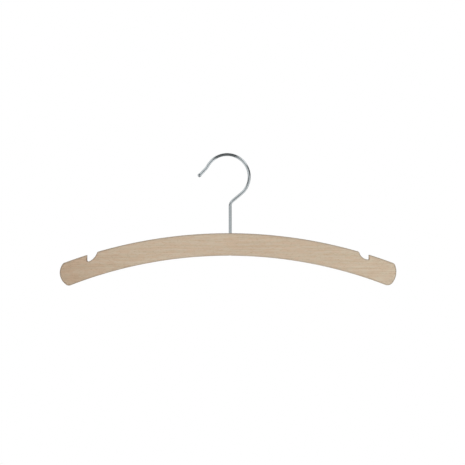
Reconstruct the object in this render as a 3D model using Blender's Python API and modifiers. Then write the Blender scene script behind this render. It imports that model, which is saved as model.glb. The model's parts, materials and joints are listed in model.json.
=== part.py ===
"""A flat wooden clothes hanger: an arched board with two strap notches on a wire hook that swivels.

Units are metres. +X runs along the board, +Z is up and -Y is the front.
The origin is where a rail bears inside the crown of the hook. The swivel axis is parallel to Z,
through the hook's shaft and the bore in the board.
"""

import math

import bmesh
import bpy
from mathutils import Vector

# Board: one flat piece, sawn to two arcs and rounded along its edges. The bore stands to the right
# of the board's middle, so that the crown of the hook is nearly over the middle.
BOARD_SPAN = 0.4200
BOARD_THICKNESS = 0.0120
BOARD_DEPTH = 0.0281
TOP_EDGE_RADIUS = 0.5870
BOTTOM_EDGE_RADIUS = 0.5447
EDGE_ROUND = 0.0025
CORNER_CUT = 0.0026
BORE_OFFSET = 0.0027

# The arc at each end of the board, as a share of half the board's depth there
END_ARC_SHARE = 1.17

# Strap notches: a round ramp on the inner side, a small round root and a steep outer wall. The
# left one is cut a little deeper than the right one.
NOTCH_REACH = 0.1742
LEFT_NOTCH_DEPTH = 0.0077
RIGHT_NOTCH_DEPTH = 0.0062
NOTCH_RAMP_RADIUS = 0.0100
NOTCH_ROOT_RADIUS = 0.0014
NOTCH_UNDERCUT = 0.0001
NOTCH_RIM_CUT = 0.0018
NOTCH_LIP_CUT = 0.0010
NOTCH_MOUTH_FLARE = math.radians(15.0)

# Hook: one length of wire, bent in the plane of the board
WIRE_DIAMETER = 0.0038
SHAFT_RISE = 0.0341
NECK_RADIUS = 0.0080
NECK_ANGLE = math.radians(50.3)
NECK_RUN = 0.0143
CROOK_RADIUS = 0.0276
CROOK_ANGLE = math.radians(200.4)
FLARE_RADIUS = 0.0250
FLARE_ANGLE = math.radians(13.8)
TIP_RUN = 0.0100

# Hook ends: a bead upset on the tip, and a head peened over below the nut
BEAD_SWELL = 0.0005
HEAD_SWELL = 0.0008
HEAD_LENGTH = 0.0012
HEAD_SHOULDER = 0.0002
END_FLAT_ANGLE = math.radians(15.0)

# Swivel: the bore that the shaft turns in, with a washer and a nut up in a counterbore
SHAFT_CLEARANCE = 0.0004
SEAT_GAP = 0.0003
WASHER_THICKNESS = 0.0008
WASHER_EDGE_ROUND = 0.00015
WASHER_RIM_CLEARANCE = 0.0003
NUT_ACROSS_FLATS = 0.0070
NUT_HEIGHT = 0.0032
NUT_CHAMFER_ANGLE = math.radians(30.0)
NUT_CORNER_CLEARANCE = 0.00055
HEAD_RECESS = 0.0037

# How finely curves are stepped, and how far a cutter runs past what it cuts
LONG_EDGE_STEPS = 26
ARC_STEPS = 9
BLEND_STEPS = 4
EDGE_ROUND_SEGMENTS = 4
BEND_STEP = math.radians(7.5)
LEAST_BEND_STEPS = 4
WIRE_BEVEL_RESOLUTION = 6
ROUND_SIDES = 32
NUT_SIDES = 6
OVERRUN = 0.0020
WELD_DISTANCE = 0.00001
SHARP_ANGLE = math.radians(35.0)
RIM_ANGLE = math.radians(60.0)
FLAT_FACE_SHARE = 0.99

# Colours and surfaces
WOOD_COLOUR = (0.54, 0.43, 0.32, 1.0)
WOOD_ROUGHNESS = 0.55
HOOK_COLOUR = (0.70, 0.72, 0.73, 1.0)
HOOK_ROUGHNESS = 0.14
ZINC_COLOUR = (0.58, 0.59, 0.60, 1.0)
ZINC_ROUGHNESS = 0.35

# Sizes that follow from the ones above
QUARTER_TURN = math.radians(90.0)
HALF_TURN = 2 * QUARTER_TURN
FULL_TURN = 4 * QUARTER_TURN
TOP_EDGE_CENTRE = Vector((0, -TOP_EDGE_RADIUS))
BOTTOM_EDGE_CENTRE = Vector((0, -BOARD_DEPTH - BOTTOM_EDGE_RADIUS))
WIRE_RADIUS = WIRE_DIAMETER / 2
BORE_RADIUS = WIRE_RADIUS + SHAFT_CLEARANCE
RUNNING_RADIUS = WIRE_RADIUS + SEAT_GAP
NUT_FLAT_RADIUS = NUT_ACROSS_FLATS / 2
NUT_CORNER_RADIUS = NUT_FLAT_RADIUS / math.cos(HALF_TURN / NUT_SIDES)
COUNTERBORE_RADIUS = NUT_CORNER_RADIUS + NUT_CORNER_CLEARANCE

# Heights on the swivel axis, from the middle of the board's top edge down to its underside
HEAD_BASE = HEAD_RECESS + HEAD_LENGTH - BOARD_DEPTH
HEAD_TOP = HEAD_BASE + HEAD_SHOULDER
NUT_BOTTOM = HEAD_TOP + SEAT_GAP
NUT_TOP = NUT_BOTTOM + NUT_HEIGHT
WASHER_BOTTOM = NUT_TOP + SEAT_GAP
WASHER_TOP = WASHER_BOTTOM + WASHER_THICKNESS
COUNTERBORE_CEILING = WASHER_TOP + SEAT_GAP


def heading(angle):
    """Unit vector in the plane of the board, at an angle from +X towards +Z."""
    return Vector((math.cos(angle), math.sin(angle)))


def angle_at(centre, point):
    """Angle of a point as seen from a centre, from +X towards +Z."""
    return math.atan2(point.y - centre.y, point.x - centre.x)


def arc(centre, radius, start, end, steps):
    """Points on an arc from one angle to another, both ends included."""
    turn = (end - start) / steps
    return [centre + radius * heading(start + turn * step) for step in range(steps + 1)]


def blend(before, corner, after):
    """Points that round a corner, between a point on each of its sides, both ends left out."""
    points = []
    for step in range(1, BLEND_STEPS):
        share = step / BLEND_STEPS
        first = before.lerp(corner, share)
        second = corner.lerp(after, share)
        points.append(first.lerp(second, share))
    return points


def circles_meet(centre, radius, other_centre, other_radius, side):
    """Where two circles cross, on the left (+1) or right (-1) of the way from centre to centre."""
    way = other_centre - centre
    along = (way.length_squared + radius ** 2 - other_radius ** 2) / (2 * way.length)
    across = math.sqrt(radius ** 2 - along ** 2)
    unit = way.normalized()
    return centre + unit * along + Vector((-unit.y, unit.x)) * across * side


def top_edge_height(reach):
    """Height of the board's top edge at a distance from the middle, from the middle of that edge."""
    return math.sqrt(TOP_EDGE_RADIUS ** 2 - reach ** 2) - TOP_EDGE_RADIUS


def bottom_edge_height(reach):
    """Height of the board's bottom edge at a distance from the middle, from the same place."""
    return math.sqrt(BOTTOM_EDGE_RADIUS ** 2 - reach ** 2) - BOTTOM_EDGE_RADIUS - BOARD_DEPTH


def mirrored(points):
    """The same points on the left half of the board, in the order that closes the outline."""
    return [Vector((-point.x, point.y)) for point in reversed(points)]


def board_outline():
    """The board without its notches: two long arcs, a round arc at each end and eased corners."""
    reach = (BOARD_SPAN - BOARD_DEPTH) / 2
    depth_there = top_edge_height(reach) - bottom_edge_height(reach)
    radius = END_ARC_SHARE * depth_there / 2
    centre = Vector((BOARD_SPAN / 2 - radius, top_edge_height(reach) - depth_there / 2))

    top_corner = circles_meet(TOP_EDGE_CENTRE, TOP_EDGE_RADIUS, centre, radius, -1)
    bottom_corner = circles_meet(BOTTOM_EDGE_CENTRE, BOTTOM_EDGE_RADIUS, centre, radius, -1)

    top_end = angle_at(TOP_EDGE_CENTRE, top_corner) + CORNER_CUT / TOP_EDGE_RADIUS
    top_edge = arc(TOP_EDGE_CENTRE, TOP_EDGE_RADIUS, QUARTER_TURN, top_end, LONG_EDGE_STEPS)
    bottom_end = angle_at(BOTTOM_EDGE_CENTRE, bottom_corner) + CORNER_CUT / BOTTOM_EDGE_RADIUS
    bottom_edge = arc(
        BOTTOM_EDGE_CENTRE, BOTTOM_EDGE_RADIUS, bottom_end, QUARTER_TURN, LONG_EDGE_STEPS
    )
    end_start = angle_at(centre, top_corner) - CORNER_CUT / radius
    end_stop = angle_at(centre, bottom_corner) + CORNER_CUT / radius
    end = arc(centre, radius, end_start, end_stop, ARC_STEPS)

    right_half = [
        *top_edge,
        *blend(top_edge[-1], top_corner, end[0]),
        *end,
        *blend(end[-1], bottom_corner, bottom_edge[0]),
        *bottom_edge,
    ]
    return right_half + mirrored(right_half[1:-1])


def notch_outline(depth):
    """A strap notch on the right half of the board as a cutter: ramp, root, wall, and a mouth that
    flares over both lips."""
    bottom = Vector((NOTCH_REACH, top_edge_height(NOTCH_REACH) - depth))
    ramp_centre = bottom + Vector((0, NOTCH_RAMP_RADIUS))
    root_centre = bottom + Vector((0, NOTCH_ROOT_RADIUS))

    rim = circles_meet(TOP_EDGE_CENTRE, TOP_EDGE_RADIUS, ramp_centre, NOTCH_RAMP_RADIUS, 1)
    ramp_start = angle_at(ramp_centre, rim) % FULL_TURN + NOTCH_RIM_CUT / NOTCH_RAMP_RADIUS
    ramp = arc(ramp_centre, NOTCH_RAMP_RADIUS, ramp_start, FULL_TURN - QUARTER_TURN, ARC_STEPS)
    rim_angle = angle_at(TOP_EDGE_CENTRE, rim) + NOTCH_RIM_CUT / TOP_EDGE_RADIUS
    rim_edge = TOP_EDGE_CENTRE + TOP_EDGE_RADIUS * heading(rim_angle)
    rim_flare = heading(rim_angle + QUARTER_TURN - NOTCH_MOUTH_FLARE)

    lip_reach = NOTCH_REACH + NOTCH_ROOT_RADIUS - NOTCH_UNDERCUT
    lip = Vector((lip_reach, top_edge_height(lip_reach)))
    lip_angle = angle_at(TOP_EDGE_CENTRE, lip) - NOTCH_LIP_CUT / TOP_EDGE_RADIUS
    lip_edge = TOP_EDGE_CENTRE + TOP_EDGE_RADIUS * heading(lip_angle)
    lip_flare = heading(lip_angle - QUARTER_TURN + NOTCH_MOUTH_FLARE)

    to_lip = lip - root_centre
    wall_angle = angle_at(root_centre, lip) - math.acos(NOTCH_ROOT_RADIUS / to_lip.length)
    root = arc(root_centre, NOTCH_ROOT_RADIUS, -QUARTER_TURN, wall_angle, ARC_STEPS)
    wall_top = lip + (root[-1] - lip).normalized() * NOTCH_LIP_CUT

    mouth_run = NOTCH_RAMP_RADIUS
    return [
        rim_edge + rim_flare * mouth_run,
        rim_edge,
        *blend(rim_edge, rim, ramp[0]),
        *ramp,
        *root[1:],
        wall_top,
        *blend(wall_top, lip, lip_edge),
        lip_edge,
        lip_edge + lip_flare * mouth_run,
    ]


def bent(start, direction, radius, angle):
    """A bend in the wire from a point and a heading: its points without the start, and the new
    heading. A positive angle turns left and a negative one turns right."""
    side = math.copysign(1, angle)
    centre = start + heading(direction + side * QUARTER_TURN) * radius
    steps = max(LEAST_BEND_STEPS, math.ceil(abs(angle) / BEND_STEP))
    first = direction - side * QUARTER_TURN
    return arc(centre, radius, first, first + angle, steps)[1:], direction + angle


def hook_bends():
    """The wire above the board: its points from the top of the shaft to the end of the flare, its
    heading there, and the centre of the round crook."""
    shaft_top = Vector((0, SHAFT_RISE))
    neck, direction = bent(shaft_top, QUARTER_TURN, NECK_RADIUS, -NECK_ANGLE)
    crook_start = neck[-1] + heading(direction) * NECK_RUN
    crook_centre = crook_start + heading(direction + QUARTER_TURN) * CROOK_RADIUS
    crook, direction = bent(crook_start, direction, CROOK_RADIUS, CROOK_ANGLE)
    flare, direction = bent(crook[-1], direction, FLARE_RADIUS, -FLARE_ANGLE)
    return [shaft_top, *neck, crook_start, *crook, *flare], direction, crook_centre


def hook_route(bends, direction):
    """The hook's centre line from its lower end to its tip, as (place, radius) pairs."""
    bead_centre = bends[-1] + heading(direction) * TIP_RUN
    head_radius = WIRE_RADIUS + HEAD_SWELL
    route = []
    for step in range(BLEND_STEPS + 1):
        angle = END_FLAT_ANGLE + (QUARTER_TURN - END_FLAT_ANGLE) * step / BLEND_STEPS
        place = Vector((0, HEAD_BASE - HEAD_LENGTH * math.cos(angle)))
        route.append((place, head_radius * math.sin(angle)))
    route.append((Vector((0, HEAD_TOP)), WIRE_RADIUS))
    route += [(place, WIRE_RADIUS) for place in bends]

    bead_radius = WIRE_RADIUS + BEAD_SWELL
    meet_angle = HALF_TURN - math.asin(WIRE_RADIUS / bead_radius)
    for step in range(2 * BLEND_STEPS + 1):
        angle = meet_angle + (END_FLAT_ANGLE - meet_angle) * step / (2 * BLEND_STEPS)
        place = bead_centre + heading(direction) * bead_radius * math.cos(angle)
        route.append((place, bead_radius * math.sin(angle)))
    return route


def new_collection(name):
    """A collection in the scene."""
    collection = bpy.data.collections.new(name)
    bpy.context.scene.collection.children.link(collection)
    return collection


def new_material(name, colour, roughness, metallic):
    """A material with one Principled BSDF."""
    material = bpy.data.materials.new(name)
    material.use_nodes = True
    shader = material.node_tree.nodes["Principled BSDF"]
    shader.inputs["Base Color"].default_value = colour
    shader.inputs["Roughness"].default_value = roughness
    shader.inputs["Metallic"].default_value = metallic
    return material


def new_curve(name, outline, dimensions):
    """A curve object along points of the front view, whose own Y stands for the board's height."""
    curve = bpy.data.curves.new(name, "CURVE")
    curve.dimensions = dimensions
    spline = curve.splines.new("POLY")
    spline.points.add(len(outline) - 1)
    for point, place in zip(spline.points, outline):
        point.co = (place.x, place.y, 0, 1)
    thing = bpy.data.objects.new(name, curve)
    thing.rotation_euler = (QUARTER_TURN, 0, 0)
    return thing


def flat_plate(name, outline, thickness, collection):
    """A flat plate with this outline, standing in the plane of the board, as one closed mesh."""
    guide = new_curve(name + "_outline", outline, "2D")
    guide.data.splines[0].use_cyclic_u = True
    guide.data.fill_mode = "BOTH"
    guide.data.extrude = thickness / 2
    collection.objects.link(guide)
    bpy.context.view_layer.update()

    ready = guide.evaluated_get(bpy.context.evaluated_depsgraph_get())
    mesh = bpy.data.meshes.new_from_object(ready)
    mesh.name = name
    shape = bmesh.new()
    shape.from_mesh(mesh)
    bmesh.ops.remove_doubles(shape, verts=shape.verts, dist=WELD_DISTANCE)
    within_the_flat_faces = [
        edge for edge in shape.edges
        if all(abs(face.normal.z) > FLAT_FACE_SHARE for face in edge.link_faces)
    ]
    bmesh.ops.dissolve_edges(shape, edges=within_the_flat_faces, use_verts=False)
    shape.to_mesh(mesh)
    shape.free()

    plate = bpy.data.objects.new(name, mesh)
    plate.matrix_world = guide.matrix_world
    collection.objects.link(plate)
    bpy.data.objects.remove(guide)
    return plate


def turned(name, profile, collection, closed=False):
    """A shape turned round Z from a profile of (radius, height) that runs down its outer side."""
    mesh = bpy.data.meshes.new(name)
    shape = bmesh.new()
    corners = [shape.verts.new((radius, 0, height)) for radius, height in profile]
    for first, second in zip(corners, corners[1:]):
        shape.edges.new((first, second))
    if closed:
        shape.edges.new((corners[-1], corners[0]))
    shape.to_mesh(mesh)
    shape.free()
    thing = bpy.data.objects.new(name, mesh)
    collection.objects.link(thing)
    screw = thing.modifiers.new("turn", "SCREW")
    screw.steps = ROUND_SIDES
    screw.render_steps = ROUND_SIDES
    screw.use_merge_vertices = True
    screw.merge_threshold = WELD_DISTANCE
    return thing


def as_cutter(thing):
    """Marks an object as a cutter, which isn't part of the hanger."""
    thing.hide_render = True
    thing.display_type = "WIRE"
    return thing


def cut(thing, cutter, operation="DIFFERENCE"):
    """Adds a Boolean with a cutter to an object."""
    boolean = thing.modifiers.new(cutter.name, "BOOLEAN")
    boolean.operation = operation
    boolean.object = cutter


def settle(thing):
    """Makes a mesh object's modifiers final, and shades it smooth between its sharp edges."""
    bpy.context.view_layer.update()
    ready = thing.evaluated_get(bpy.context.evaluated_depsgraph_get())
    mesh = bpy.data.meshes.new_from_object(ready)
    mesh.name = thing.name
    thing.modifiers.clear()
    thing.data = mesh
    mesh.shade_smooth()
    mesh.set_sharp_from_angle(angle=SHARP_ANGLE)


def finish(thing, material, parent, place):
    """Gives an object its material, its parent and its place under it."""
    thing.data.materials.clear()
    thing.data.materials.append(material)
    thing.parent = parent
    thing.location = place


def make_board(collection, cutters, swivel, material):
    """The board: rounded along both faces, notched for straps, and bored for the hook."""
    middle = (-BORE_OFFSET, 0, 0)
    board = flat_plate("board", board_outline(), BOARD_THICKNESS, collection)
    rounding = board.modifiers.new("rounded_edges", "BEVEL")
    rounding.width = EDGE_ROUND
    rounding.segments = EDGE_ROUND_SEGMENTS
    rounding.limit_method = "ANGLE"
    rounding.angle_limit = RIM_ANGLE

    outlines = {
        "right_notch_cutter": notch_outline(RIGHT_NOTCH_DEPTH),
        "left_notch_cutter": mirrored(notch_outline(LEFT_NOTCH_DEPTH)),
    }
    for name, outline in outlines.items():
        cutter = as_cutter(flat_plate(name, outline, BOARD_THICKNESS + 2 * OVERRUN, cutters))
        cutter.parent = swivel
        cutter.location = middle
        cut(board, cutter)

    stepped_bore = [
        (0, OVERRUN),
        (BORE_RADIUS, OVERRUN),
        (BORE_RADIUS, COUNTERBORE_CEILING),
        (COUNTERBORE_RADIUS, COUNTERBORE_CEILING),
        (COUNTERBORE_RADIUS, -BOARD_DEPTH - OVERRUN),
        (0, -BOARD_DEPTH - OVERRUN),
    ]
    cutter = as_cutter(turned("bore_cutter", stepped_bore, cutters))
    cutter.parent = swivel
    cut(board, cutter)
    finish(board, material, swivel, middle)
    settle(board)


def make_hook(collection, place, route, material):
    """The hook: a round wire along its route, which swells into a bead and a peened head."""
    hook = new_curve("hook", [centre for centre, radius in route], "3D")
    for point, (centre, radius) in zip(hook.data.splines[0].points, route):
        point.radius = radius / WIRE_RADIUS
    hook.data.bevel_depth = WIRE_RADIUS
    hook.data.bevel_resolution = WIRE_BEVEL_RESOLUTION
    hook.data.use_fill_caps = True
    collection.objects.link(hook)
    finish(hook, material, None, place)


def make_washer(collection, swivel, material):
    """The washer on the shoulder of the counterbore, with its outer and inner edges rounded off."""
    outer = COUNTERBORE_RADIUS - WASHER_RIM_CLEARANCE
    inner = RUNNING_RADIUS
    profile = [
        (outer - WASHER_EDGE_ROUND, WASHER_TOP),
        (outer, WASHER_TOP - WASHER_EDGE_ROUND),
        (outer, WASHER_BOTTOM + WASHER_EDGE_ROUND),
        (outer - WASHER_EDGE_ROUND, WASHER_BOTTOM),
        (inner, WASHER_BOTTOM),
        (inner, WASHER_TOP),
    ]
    washer = turned("washer", profile, collection, closed=True)
    finish(washer, material, swivel, (0, 0, 0))
    settle(washer)


def make_nut(collection, cutters, place, material):
    """The nut: a hexagon across flats, chamfered at both ends, with its bore."""
    bpy.ops.mesh.primitive_cylinder_add(
        vertices=NUT_SIDES, radius=NUT_CORNER_RADIUS, depth=NUT_HEIGHT
    )
    nut = bpy.context.object
    nut.name = "nut"
    for owner in nut.users_collection:
        owner.objects.unlink(nut)
    collection.objects.link(nut)
    nut.rotation_euler = (0, 0, HALF_TURN / NUT_SIDES)

    half = NUT_HEIGHT / 2
    slope = math.tan(NUT_CHAMFER_ANGLE)
    inner = NUT_FLAT_RADIUS - OVERRUN
    outer = NUT_CORNER_RADIUS + OVERRUN
    inner_height = half + (NUT_FLAT_RADIUS - inner) * slope
    outer_height = half - (outer - NUT_FLAT_RADIUS) * slope
    barrel = [
        (0, inner_height),
        (inner, inner_height),
        (outer, outer_height),
        (outer, -outer_height),
        (inner, -inner_height),
        (0, -inner_height),
    ]
    bore = [
        (0, half + OVERRUN),
        (RUNNING_RADIUS, half + OVERRUN),
        (RUNNING_RADIUS, -half - OVERRUN),
        (0, -half - OVERRUN),
    ]
    middle = place + Vector((0, 0, NUT_BOTTOM + half))
    for name, profile, operation in (
        ("nut_chamfer_cutter", barrel, "INTERSECT"),
        ("nut_bore_cutter", bore, "DIFFERENCE"),
    ):
        cutter = as_cutter(turned(name, profile, cutters))
        cutter.location = middle
        cut(nut, cutter, operation)
    finish(nut, material, None, middle)
    settle(nut)


def main():
    """Builds the hanger round its swivel axis."""
    for thing in list(bpy.data.objects):
        bpy.data.objects.remove(thing)
    hanger = new_collection("wooden_clothes_hanger")
    cutters = new_collection("cutters")

    wood = new_material("pale_wood", WOOD_COLOUR, WOOD_ROUGHNESS, 0)
    bright_wire = new_material("bright_plated_wire", HOOK_COLOUR, HOOK_ROUGHNESS, 1)
    zinc = new_material("zinc_plated_steel", ZINC_COLOUR, ZINC_ROUGHNESS, 1)

    bends, direction, crook_centre = hook_bends()
    crown_height = crook_centre.y + CROOK_RADIUS - WIRE_RADIUS
    swivel = bpy.data.objects.new("swivel", None)
    swivel.location = (-crook_centre.x, 0, -crown_height)
    hanger.objects.link(swivel)

    make_board(hanger, cutters, swivel, wood)
    make_hook(hanger, swivel.location, hook_route(bends, direction), bright_wire)
    make_washer(hanger, swivel, zinc)
    make_nut(hanger, cutters, swivel.location, zinc)


main()
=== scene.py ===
"""A flat wooden clothes hanger on a swivelling wire hook, dressed for its portrait.

Units are metres. +X runs along the board to the right, +Z is up, and the front faces -Y.
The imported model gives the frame: the bodies, their joint, and the place of the board. The pieces
here are the fine surfaces that stand for its solids, with their finishes, and the studio.
"""

import json
import logging
import math
from collections.abc import Mapping, Sequence
from dataclasses import dataclass
from enum import Enum
from typing import NamedTuple

import bmesh
import bpy
import numpy as np
from bpy.types import ID, Material, Node, NodeSocket, NodeTree, Object
from mathutils import Matrix, Vector

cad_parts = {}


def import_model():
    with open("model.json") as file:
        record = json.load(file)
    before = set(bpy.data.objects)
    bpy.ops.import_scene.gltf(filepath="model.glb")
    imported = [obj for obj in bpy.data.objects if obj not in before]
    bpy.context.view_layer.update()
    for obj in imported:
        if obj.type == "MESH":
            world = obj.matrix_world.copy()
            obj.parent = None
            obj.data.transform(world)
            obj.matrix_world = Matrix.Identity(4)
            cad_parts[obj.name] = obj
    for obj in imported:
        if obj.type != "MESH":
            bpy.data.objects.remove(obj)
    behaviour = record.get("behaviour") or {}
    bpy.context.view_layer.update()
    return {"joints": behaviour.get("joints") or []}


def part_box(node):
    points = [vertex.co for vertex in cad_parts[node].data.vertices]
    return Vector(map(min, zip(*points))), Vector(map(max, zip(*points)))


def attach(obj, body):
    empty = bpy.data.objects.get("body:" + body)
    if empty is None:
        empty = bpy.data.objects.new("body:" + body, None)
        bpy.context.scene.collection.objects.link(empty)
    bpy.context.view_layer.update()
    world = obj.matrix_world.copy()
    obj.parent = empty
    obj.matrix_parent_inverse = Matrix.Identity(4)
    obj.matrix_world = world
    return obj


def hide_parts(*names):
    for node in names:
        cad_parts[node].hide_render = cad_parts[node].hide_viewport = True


LOG = logging.getLogger("clothes_hanger")

QUARTER_TURN = math.radians(90.0)
FULL_TURN = 4 * QUARTER_TURN
MILLIMETRES_IN_A_METRE = 1000.0
WELD_DISTANCE = 0.000002
SHARP_ANGLE = math.radians(38.0)
NOISE_MIDDLE = 0.5
LINE_DETAIL = 2.0
PATCH_DETAIL = 3.0
MATH_INPUTS = ("Value", "Value_001", "Value_002")

Array = np.ndarray
Range = tuple[float, float]
Triple = tuple[float, float, float]
Colour = Triple
Values = Mapping[str, object]


class Side(Enum):
    """The two ends of the board, as the sign of X."""

    LEFT = -1
    RIGHT = 1


class Seen(Enum):
    """What kind of ray meets a surface or the world, as the name of its Light Path output."""

    CAMERA = "Is Camera Ray"
    GLOSSY = "Is Glossy Ray"
    TRANSMITTED = "Is Transmission Ray"


# Plane curves

def ray(angle: float | Array) -> Array:
    """Unit vectors (cos, sin) at angles from +X towards +Z."""
    return np.stack([np.cos(angle), np.sin(angle)], axis=-1)


def arc(centre: Array, radius: float, start: float, end: float, steps: int) -> Array:
    """Points centre + radius * (cos a, sin a), with a going from start to end in even steps."""
    return centre + radius * ray(np.linspace(start, end, steps + 1))


def eased_corner(before: Array, corner: Array, after: Array, steps: int) -> Array:
    """A corner rounded by (1-t)^2 before + 2t(1-t) corner + t^2 after, both ends left out."""
    share = np.linspace(0, 1, steps + 1)[1:-1, None]
    return (1 - share) ** 2 * before + 2 * share * (1 - share) * corner + share ** 2 * after


def angle_at(centre: Array, point: Array) -> float:
    """Angle of a point as seen from a centre, from +X towards +Z."""
    return math.atan2(point[1] - centre[1], point[0] - centre[0])


def circles_meet(centre: Array, radius: float, other: Array, other_radius: float, side: int) -> Array:
    """Where two circles cross.

    Args:
        centre: the middle of the first circle.
        radius: its radius.
        other: the middle of the second circle.
        other_radius: its radius.
        side: 1 for the crossing on the left of the way from middle to middle, -1 for the right.

    Returns:
        The crossing point.
    """
    way = other - centre
    distance = float(np.hypot(*way))
    along = (distance ** 2 + radius ** 2 - other_radius ** 2) / (2 * distance)
    across = math.sqrt(radius ** 2 - along ** 2)
    unit = way / distance
    return centre + unit * along + np.array([-unit[1], unit[0]]) * across * side


def mirrored(points: Array) -> Array:
    """The same points on the left half of the board, in the opposite order."""
    return points[::-1] * np.array([-1, 1])


def left_normals(points: Array) -> Array:
    """Unit normals on the left of a closed line, square to the mean of its two pieces there.

    Args:
        points: the line's points, in order.

    Returns:
        The normal at each point.
    """
    pieces = np.roll(points, -1, axis=0) - points
    pieces = pieces / np.linalg.norm(pieces, axis=1, keepdims=True)
    mean = pieces + np.roll(pieces, 1, axis=0)
    mean = mean / np.linalg.norm(mean, axis=1, keepdims=True)
    return np.stack([-mean[:, 1], mean[:, 0]], axis=1)


def smooth_maximum(first: Array, second: Array, width: float) -> Array:
    """The larger of two heights, with the crease between them rounded over a width."""
    gap = np.clip(width - np.abs(first - second), 0, None)
    return np.maximum(first, second) + gap ** 2 / (4 * width)


def thread_wave(height: Array, turn: Array, pitch: float) -> Array:
    """A thread's form from 0 to 1: a triangle wave of height / pitch - angle / full turn."""
    phase = (height / pitch - turn / FULL_TURN) % 1
    return 1 - np.abs(2 * phase - 1)


# Meshes

def linked(name: str, data: ID) -> Object:
    """Makes an object of the scene.

    Args:
        name: its name.
        data: its mesh, camera or light.

    Returns:
        The object.
    """
    made = bpy.data.objects.new(name, data)
    bpy.context.scene.collection.objects.link(made)
    return made


def grid_quads(rows: int, columns: int) -> Array:
    """Quads of a grid that closes on itself across its columns.

    Point (row, column) has the number row * columns + column, and the quads go round each cell.

    Args:
        rows: how many rows of points the grid has.
        columns: how many points each row has.

    Returns:
        The numbers of each quad's four points.
    """
    row, column = np.mgrid[0 : rows - 1, 0:columns]
    beside = (column + 1) % columns
    corners = [
        row * columns + column,
        row * columns + beside,
        (row + 1) * columns + beside,
        (row + 1) * columns + column,
    ]
    return np.stack(corners, axis=-1).reshape(-1, 4)


def grid_map(along: Array, around: Array) -> Array:
    """The map of such a grid: U is how far along each row lies, and V how far round each column.

    Args:
        along: the distance of each row.
        around: the distance of each column, and last the whole way round.

    Returns:
        U and V for each corner of each quad, in the order of grid_quads.
    """
    row, column = np.mgrid[0 : len(along) - 1, 0 : len(around) - 1]
    corners = [(row, column), (row, column + 1), (row + 1, column + 1), (row + 1, column)]
    return np.stack([np.stack([along[r], around[c]], axis=-1) for r, c in corners], axis=2)


def closed_piece(name: str, points: Array, material: Material, seam_map: Array | None = None) -> Object:
    """A closed piece from a grid of points whose rows are rings.

    Args:
        name: the piece's name.
        points: rows by columns by three. Ends that meet in a point or a line are welded there.
        material: its finish.
        seam_map: U and V from grid_map, where a pattern follows the surface.

    Returns:
        The piece, linked to the scene, with its place in its mesh and its faces pointing out.
    """
    rows, columns, _ = points.shape
    mesh = bpy.data.meshes.new(name)
    mesh.from_pydata(points.reshape(-1, 3).tolist(), [], grid_quads(rows, columns).tolist())
    if seam_map is not None:
        mesh.uv_layers.new(name="along_and_round").data.foreach_set("uv", seam_map.ravel())
    shape = bmesh.new()
    shape.from_mesh(mesh)
    bmesh.ops.remove_doubles(shape, verts=shape.verts, dist=WELD_DISTANCE)
    bmesh.ops.recalc_face_normals(shape, faces=shape.faces)
    shape.to_mesh(mesh)
    shape.free()
    mesh.materials.append(material)
    return linked(name, mesh)


def turned_rings(radius: Array, height: Array, turn: Array) -> Array:
    """Rings round an upright axis: the points (r cos a, r sin a, z), one ring for each row."""
    places = np.broadcast_arrays(radius * np.cos(turn), radius * np.sin(turn), height)
    return np.stack(places, axis=-1)


def turned_piece(name: str, profile: Array, sides: int, axis: Array, material: Material) -> Object:
    """A piece turned round an upright axis from radii and heights, which count from a point on it."""
    turn = np.linspace(0, FULL_TURN, sides, endpoint=False)
    return closed_piece(name, turned_rings(profile[:, :1], profile[:, 1:], turn) + axis, material)


def settled(piece: Object) -> None:
    """Makes a piece's modifiers final.

    Args:
        piece: the piece, which gets a new mesh.
    """
    bpy.context.view_layer.update()
    ready = piece.evaluated_get(bpy.context.evaluated_depsgraph_get())
    mesh = bpy.data.meshes.new_from_object(ready)
    mesh.name = piece.name
    piece.modifiers.clear()
    piece.data = mesh


def cut_away(piece: Object, cutters: Sequence[Object]) -> None:
    """Cuts solids out of a piece, whose new faces take the cutter's material.

    Args:
        piece: what is cut.
        cutters: the solids, which are deleted afterwards.
    """
    for cutter in cutters:
        boolean = piece.modifiers.new(cutter.name, "BOOLEAN")
        boolean.operation = "DIFFERENCE"
        boolean.solver = "EXACT"
        boolean.material_mode = "TRANSFER"
        boolean.object = cutter
    settled(piece)
    for cutter in cutters:
        bpy.data.objects.remove(cutter)


def shade(piece: Object) -> None:
    """Shades a piece smooth between its sharp edges, with its large faces left flat.

    Args:
        piece: the piece.
    """
    piece.data.shade_smooth()
    piece.data.set_sharp_from_angle(angle=SHARP_ANGLE)
    evener = piece.modifiers.new("even_shading", "WEIGHTED_NORMAL")
    evener.keep_sharp = True
    settled(piece)


# Nodes

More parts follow.
